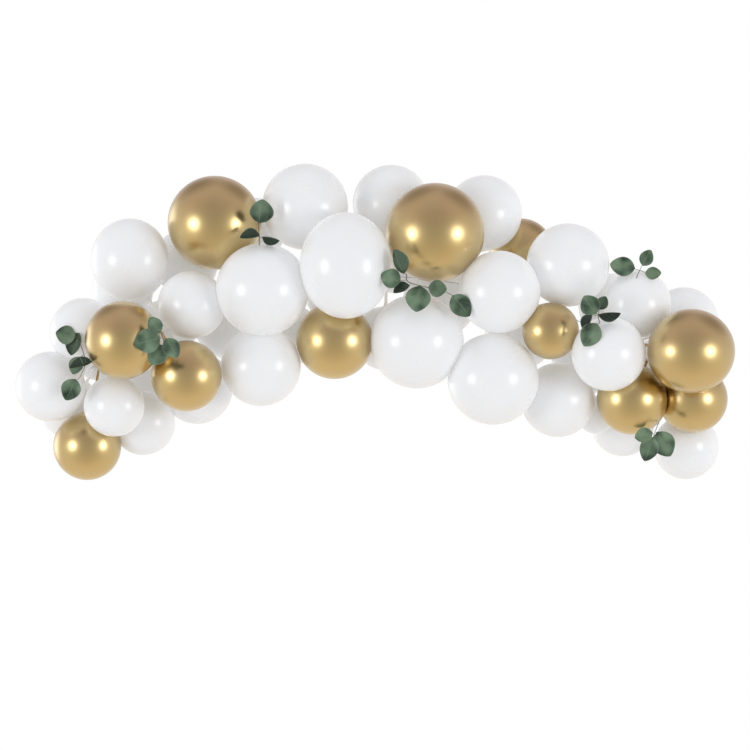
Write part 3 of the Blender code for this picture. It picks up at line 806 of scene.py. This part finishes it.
def vein_group():
    """A leaf's midrib and side veins, from its own map: base to tip and edge to edge."""
    outputs = ("Veins", "Rim", "Height")
    group, given, result = new_group("leaf veins", [("Side Veins", 7.0)], outputs)
    split = group.nodes.new("ShaderNodeSeparateXYZ")
    group.links.new(group.nodes.new("ShaderNodeTexCoord").outputs["UV"], split.inputs[0])
    along, across = split.outputs[0], split.outputs[1]
    aside = maths(group, "MULTIPLY", maths(group, "SUBTRACT", across, 0.5), 2)
    aside = maths(group, "ABSOLUTE", aside)
    midrib = ranged(group, aside, 0.015, 0.06, 1, 0)
    swept = maths(group, "SUBTRACT", along, maths(group, "MULTIPLY", aside, 0.28))
    wave = maths(group, "MULTIPLY", swept, given.outputs["Side Veins"])
    wave = maths(group, "ABSOLUTE", maths(group, "SUBTRACT", maths(group, "FRACT", wave), 0.5))
    side_veins = ranged(group, wave, 0.0, 0.09, 0.5, 0)
    veins = maths(group, "MAXIMUM", midrib, side_veins)
    rim = ranged(group, aside, 0.86, 1.0, 0, 1)
    group.links.new(veins, result.inputs["Veins"])
    group.links.new(rim, result.inputs["Rim"])
    group.links.new(maths(group, "SUBTRACT", 1.0, veins), result.inputs["Height"])
    return group


def placed_group(tree, group, **values):
    """A node group put in a tree, with values for its sockets."""
    node = tree.nodes.new("ShaderNodeGroup")
    node.node_tree = group
    for socket, value in values.items():
        node.inputs[socket.replace("_", " ")].default_value = value
    return node


def new_material(name):
    """A new material with its node tree and its shader."""
    material = bpy.data.materials.new(name)
    material.use_nodes = True
    return material, material.node_tree, material.node_tree.nodes["Principled BSDF"]


def latex_finish(name, group, light, dense, roughness, gloss_spread, ripple):
    """Blown-up latex in a colour, denser towards the neck."""
    material, tree, shader = new_material(name)
    gather = tree.nodes.new("ShaderNodeAttribute")
    gather.attribute_name = "gather"
    skin = placed_group(tree, group)
    tree.links.new(gather.outputs["Fac"], skin.inputs["Gather"])
    colour = mixed(tree, skin.outputs["Dense"], light, dense)
    tree.links.new(colour, shader.inputs["Base Color"])
    rough = ranged(tree, skin.outputs["Cloud"], 0, 1, roughness, roughness + gloss_spread)
    tree.links.new(rough, shader.inputs["Roughness"])
    bumped(tree, shader, skin.outputs["Height"], 0.002, ripple)
    return material, shader


def leaf_finish(name, grain, veins, light, dark, roughness):
    """A leaf's skin between two greens, with its veins, and painted shade on a leaf seen edge-on.
    """
    material, tree, shader = new_material(name)
    speck = placed_group(tree, grain, Scale=260.0, Amount=0.6)
    web = placed_group(tree, veins, Side_Veins=7.0)
    place = tree.nodes.new("ShaderNodeTexCoord").outputs["Object"]
    tone = ranged(tree, noise(tree, place, 21, 1), 0.34, 0.60, 0, 0.8)
    tone = maths(tree, "ADD", tone, maths(tree, "MULTIPLY", speck.outputs["Patches"], 0.2))
    colour = mixed(tree, tone, dark, light)
    turned = tree.nodes.new("ShaderNodeAttribute")
    turned.attribute_name = "turned"
    # Painted shade: a leaf turned edge-on is mixed towards near black.
    shaded = maths(tree, "MULTIPLY", turned.outputs["Fac"], 0.85)
    colour = mixed(tree, shaded, colour, (0.010, 0.020, 0.015))
    vein_share = maths(tree, "MULTIPLY", web.outputs["Veins"], 0.5)
    colour = mixed(tree, vein_share, colour, (0.20, 0.27, 0.16))
    rim_share = maths(tree, "MULTIPLY", web.outputs["Rim"], 0.5)
    colour = mixed(tree, rim_share, colour, (0.22, 0.27, 0.20))
    tree.links.new(colour, shader.inputs["Base Color"])
    low, high = roughness - 0.06, roughness + 0.12
    rough = ranged(tree, speck.outputs["Speckle"], 0.15, 0.45, low, high)
    tree.links.new(rough, shader.inputs["Roughness"])
    shader.inputs["Specular IOR Level"].default_value = 0.3
    bumped(tree, shader, web.outputs["Height"], 0.0004, 0.5)
    return material


def set_inputs(shader, **values):
    """Plain numbers on a shader's own sockets."""
    for socket, value in values.items():
        shader.inputs[socket.replace("_", " ")].default_value = value


def make_finishes():
    """Every material of the garland, by its place in it."""
    latex, grain, veins = latex_group(), grain_group(), vein_group()
    finishes = {}
    finishes["white"], shader = latex_finish(
        "white latex", latex, (0.69, 0.71, 0.75), (0.67, 0.68, 0.68), 0.24, 0.04, 0.02
    )
    # The white latex's warm emission is painted light: a glow that stands in for light passing
    # through the latex and lifts the shaded creases between balloons.
    set_inputs(
        shader,
        Subsurface_Weight=0.5,
        Subsurface_Radius=(1.0, 0.92, 0.8),
        Subsurface_Scale=0.03,
        Emission_Color=(1.0, 0.955, 0.87, 1),
        Emission_Strength=0.19,
        Specular_IOR_Level=0.45,
        Coat_Weight=0.15,
        Coat_Roughness=0.15,
    )
    finishes["gold"], shader = latex_finish(
        "gold metallic latex", latex, (0.63, 0.48, 0.215), (0.50, 0.34, 0.14), 0.31, 0.04, 0.05
    )
    set_inputs(shader, Metallic=1.0, Coat_Weight=1.0, Coat_Roughness=0.26)
    finishes["leaf_face"] = leaf_finish(
        "leaf face", grain, veins, (0.185, 0.28, 0.18), (0.018, 0.043, 0.027), 0.45
    )
    finishes["leaf_back"] = leaf_finish(
        "leaf back", grain, veins, (0.120, 0.165, 0.115), (0.035, 0.060, 0.040), 0.62
    )

    finishes["stem"], tree, shader = new_material("woody stem")
    speck = placed_group(tree, grain, Scale=180.0, Amount=1.0)
    colour = mixed(tree, speck.outputs["Patches"], (0.10, 0.075, 0.04), (0.12, 0.14, 0.07))
    bark = maths(tree, "MULTIPLY", speck.outputs["Speckle"], 0.4)
    colour = mixed(tree, bark, colour, (0.05, 0.03, 0.02))
    tree.links.new(colour, shader.inputs["Base Color"])
    set_inputs(shader, Roughness=0.6)
    bumped(tree, shader, speck.outputs["Speckle"], 0.0003, 0.6)

    finishes["strip"], tree, shader = new_material("clear strip plastic")
    speck = placed_group(tree, grain, Scale=90.0, Amount=1.0)
    colour = mixed(tree, speck.outputs["Patches"], (0.95, 0.96, 0.96), (0.91, 0.93, 0.94))
    tree.links.new(colour, shader.inputs["Base Color"])
    rough = ranged(tree, speck.outputs["Speckle"], 0.3, 0.7, 0.12, 0.24)
    tree.links.new(rough, shader.inputs["Roughness"])
    set_inputs(shader, Transmission_Weight=0.7, IOR=1.49)
    bumped(tree, shader, speck.outputs["Speckle"], 0.0002, 0.1)
    return finishes


# Studio


def patch(tree, way, middle, edge):
    """A round patch of the surround: 1 at its middle, 0 past its edge."""
    node = tree.nodes.new("ShaderNodeVectorMath")
    node.operation = "DOT_PRODUCT"
    node.inputs[1].default_value = middle
    tree.links.new(way, node.inputs[0])
    return ranged(tree, node.outputs["Value"], edge, 1.0, 0, 1)


def make_floor():
    """A pale round floor, a good way under the garland."""
    deselect()
    bpy.ops.mesh.primitive_circle_add(
        vertices=96, radius=FLOOR_RADIUS, fill_type="NGON", location=(0, 0, FLOOR_HEIGHT)
    )
    floor = named("studio_floor")
    bpy.ops.object.transform_apply()
    material, tree, shader = new_material("pale floor")
    place = tree.nodes.new("ShaderNodeTexCoord").outputs["Object"]
    tone = ranged(tree, noise(tree, place, 3, 2), 0.3, 0.7, 0, 1)
    colour = mixed(tree, tone, (0.86, 0.85, 0.83), (0.90, 0.89, 0.87))
    tree.links.new(colour, shader.inputs["Base Color"])
    set_inputs(shader, Roughness=0.7)
    floor.data.materials.append(material)
    floor.visible_glossy = False


def make_lights():
    """Two round soft lights at the garland's own height, to the left and right of the camera."""
    for name, turn in (("left_softbox", -LIGHT_TURN), ("right_softbox", LIGHT_TURN)):
        angle = math.radians(turn)
        way = Vector((math.sin(angle), -math.cos(angle), 0))
        spot = way * LIGHT_DISTANCE + Vector((0, 0, VIEW_HEIGHT))
        bpy.ops.object.light_add(type="AREA", location=spot, rotation=(math.pi / 2, 0, angle))
        lamp = bpy.context.object
        lamp.name = lamp.data.name = name
        lamp.data.shape = "DISK"
        lamp.data.size = LIGHT_SIZE
        lamp.data.energy = LIGHT_POWER
        lamp.visible_camera = False


def make_surround():
    """A soft white surround, with a window and dark openings that only gloss mirrors."""
    world = bpy.data.worlds.new("soft surround")
    world.use_nodes = True
    tree = world.node_tree
    tree.nodes.clear()
    way = tree.nodes.new("ShaderNodeTexCoord").outputs["Generated"]
    split = tree.nodes.new("ShaderNodeSeparateXYZ")
    tree.links.new(way, split.inputs[0])
    depth, height = split.outputs[1], split.outputs[2]
    ramp = tree.nodes.new("ShaderNodeValToRGB")
    tree.links.new(ranged(tree, height, -1, 1, 0, 1), ramp.inputs["Fac"])
    stops = ramp.color_ramp
    stops.interpolation = "B_SPLINE"
    for place, _ in SURROUND[1:-1]:
        stops.elements.new(place)
    for stop, (_, tone) in zip(stops.elements, SURROUND):
        stop.color = (*tone, 1)
    shade = mixed(tree, ranged(tree, depth, -1, -0.2, 0, 1), FRONT_SHADE, (1.0, 1.0, 1.0))
    mirrored = mixed(tree, 1.0, ramp.outputs["Color"], shade, "MULTIPLY")
    for dark_way in DARK_WAYS:
        mirrored = mixed(tree, patch(tree, way, dark_way, DARK_EDGE), mirrored, DARK_TONE)
    window_way, window_edge, window_tone = WINDOW
    mirrored = mixed(tree, patch(tree, way, window_way, window_edge), mirrored, window_tone)
    soft = mixed(tree, ranged(tree, depth, -1, 0.3, 0, 1), *SOFT_TONES)
    ray = tree.nodes.new("ShaderNodeLightPath")
    seen = mixed(tree, ray.outputs["Is Glossy Ray"], soft, mirrored)
    seen = mixed(tree, ray.outputs["Is Camera Ray"], seen, (1.0, 1.0, 1.0))
    light = tree.nodes.new("ShaderNodeBackground")
    tree.links.new(seen, light.inputs["Color"])
    result = tree.nodes.new("ShaderNodeOutputWorld")
    tree.links.new(light.outputs["Background"], result.inputs["Surface"])
    world.cycles.sampling_method = "NONE"
    bpy.context.scene.world = world


def make_camera():
    """A camera far in front of the garland and level with its middle."""
    level = (math.pi / 2, 0, 0)
    bpy.ops.object.camera_add(location=(0, -VIEW_DISTANCE, VIEW_HEIGHT), rotation=level)
    camera = bpy.context.object
    camera.name = "front_view"
    camera.data.sensor_width = SENSOR_WIDTH
    camera.data.lens = SENSOR_WIDTH * VIEW_DISTANCE / VIEW_WIDTH
    camera.data.clip_end = 5 * VIEW_DISTANCE
    bpy.context.scene.camera = camera
    bpy.context.scene.view_settings.view_transform = "Standard"


# The whole


def main():
    for name in ("Cube", "Light", "Camera"):
        if name in bpy.data.objects:
            bpy.data.objects.remove(bpy.data.objects[name])
    finishes = make_finishes()
    make_floor()
    make_lights()
    make_surround()
    make_camera()

    balloons = [Balloon(name) for name in sorted(NODES) if "balloon" in name]
    press(balloons)
    form = balloon_form()
    skins = []
    for balloon in balloons:
        colour = balloon.name.split("_")[0]
        skin = shape_balloon(form, balloon)
        skin.data.materials.append(finishes[colour])
        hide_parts(balloon.name)
        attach(skin, "root")
        skins.append(skin)
    bpy.data.objects.remove(form)

    strip = make_strip()
    strip.data.materials.append(finishes["strip"])
    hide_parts("strip")
    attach(strip, "root")

    front = Front(skins)
    form = leaf_form()
    for number, sprig in enumerate(SPRIGS, start=1):
        piece = make_sprig(f"leafy_sprig_{number}", sprig, form, front, finishes)
        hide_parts(f"sprig_{number}")
        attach(piece, "root")
    bpy.data.objects.remove(form)


main()
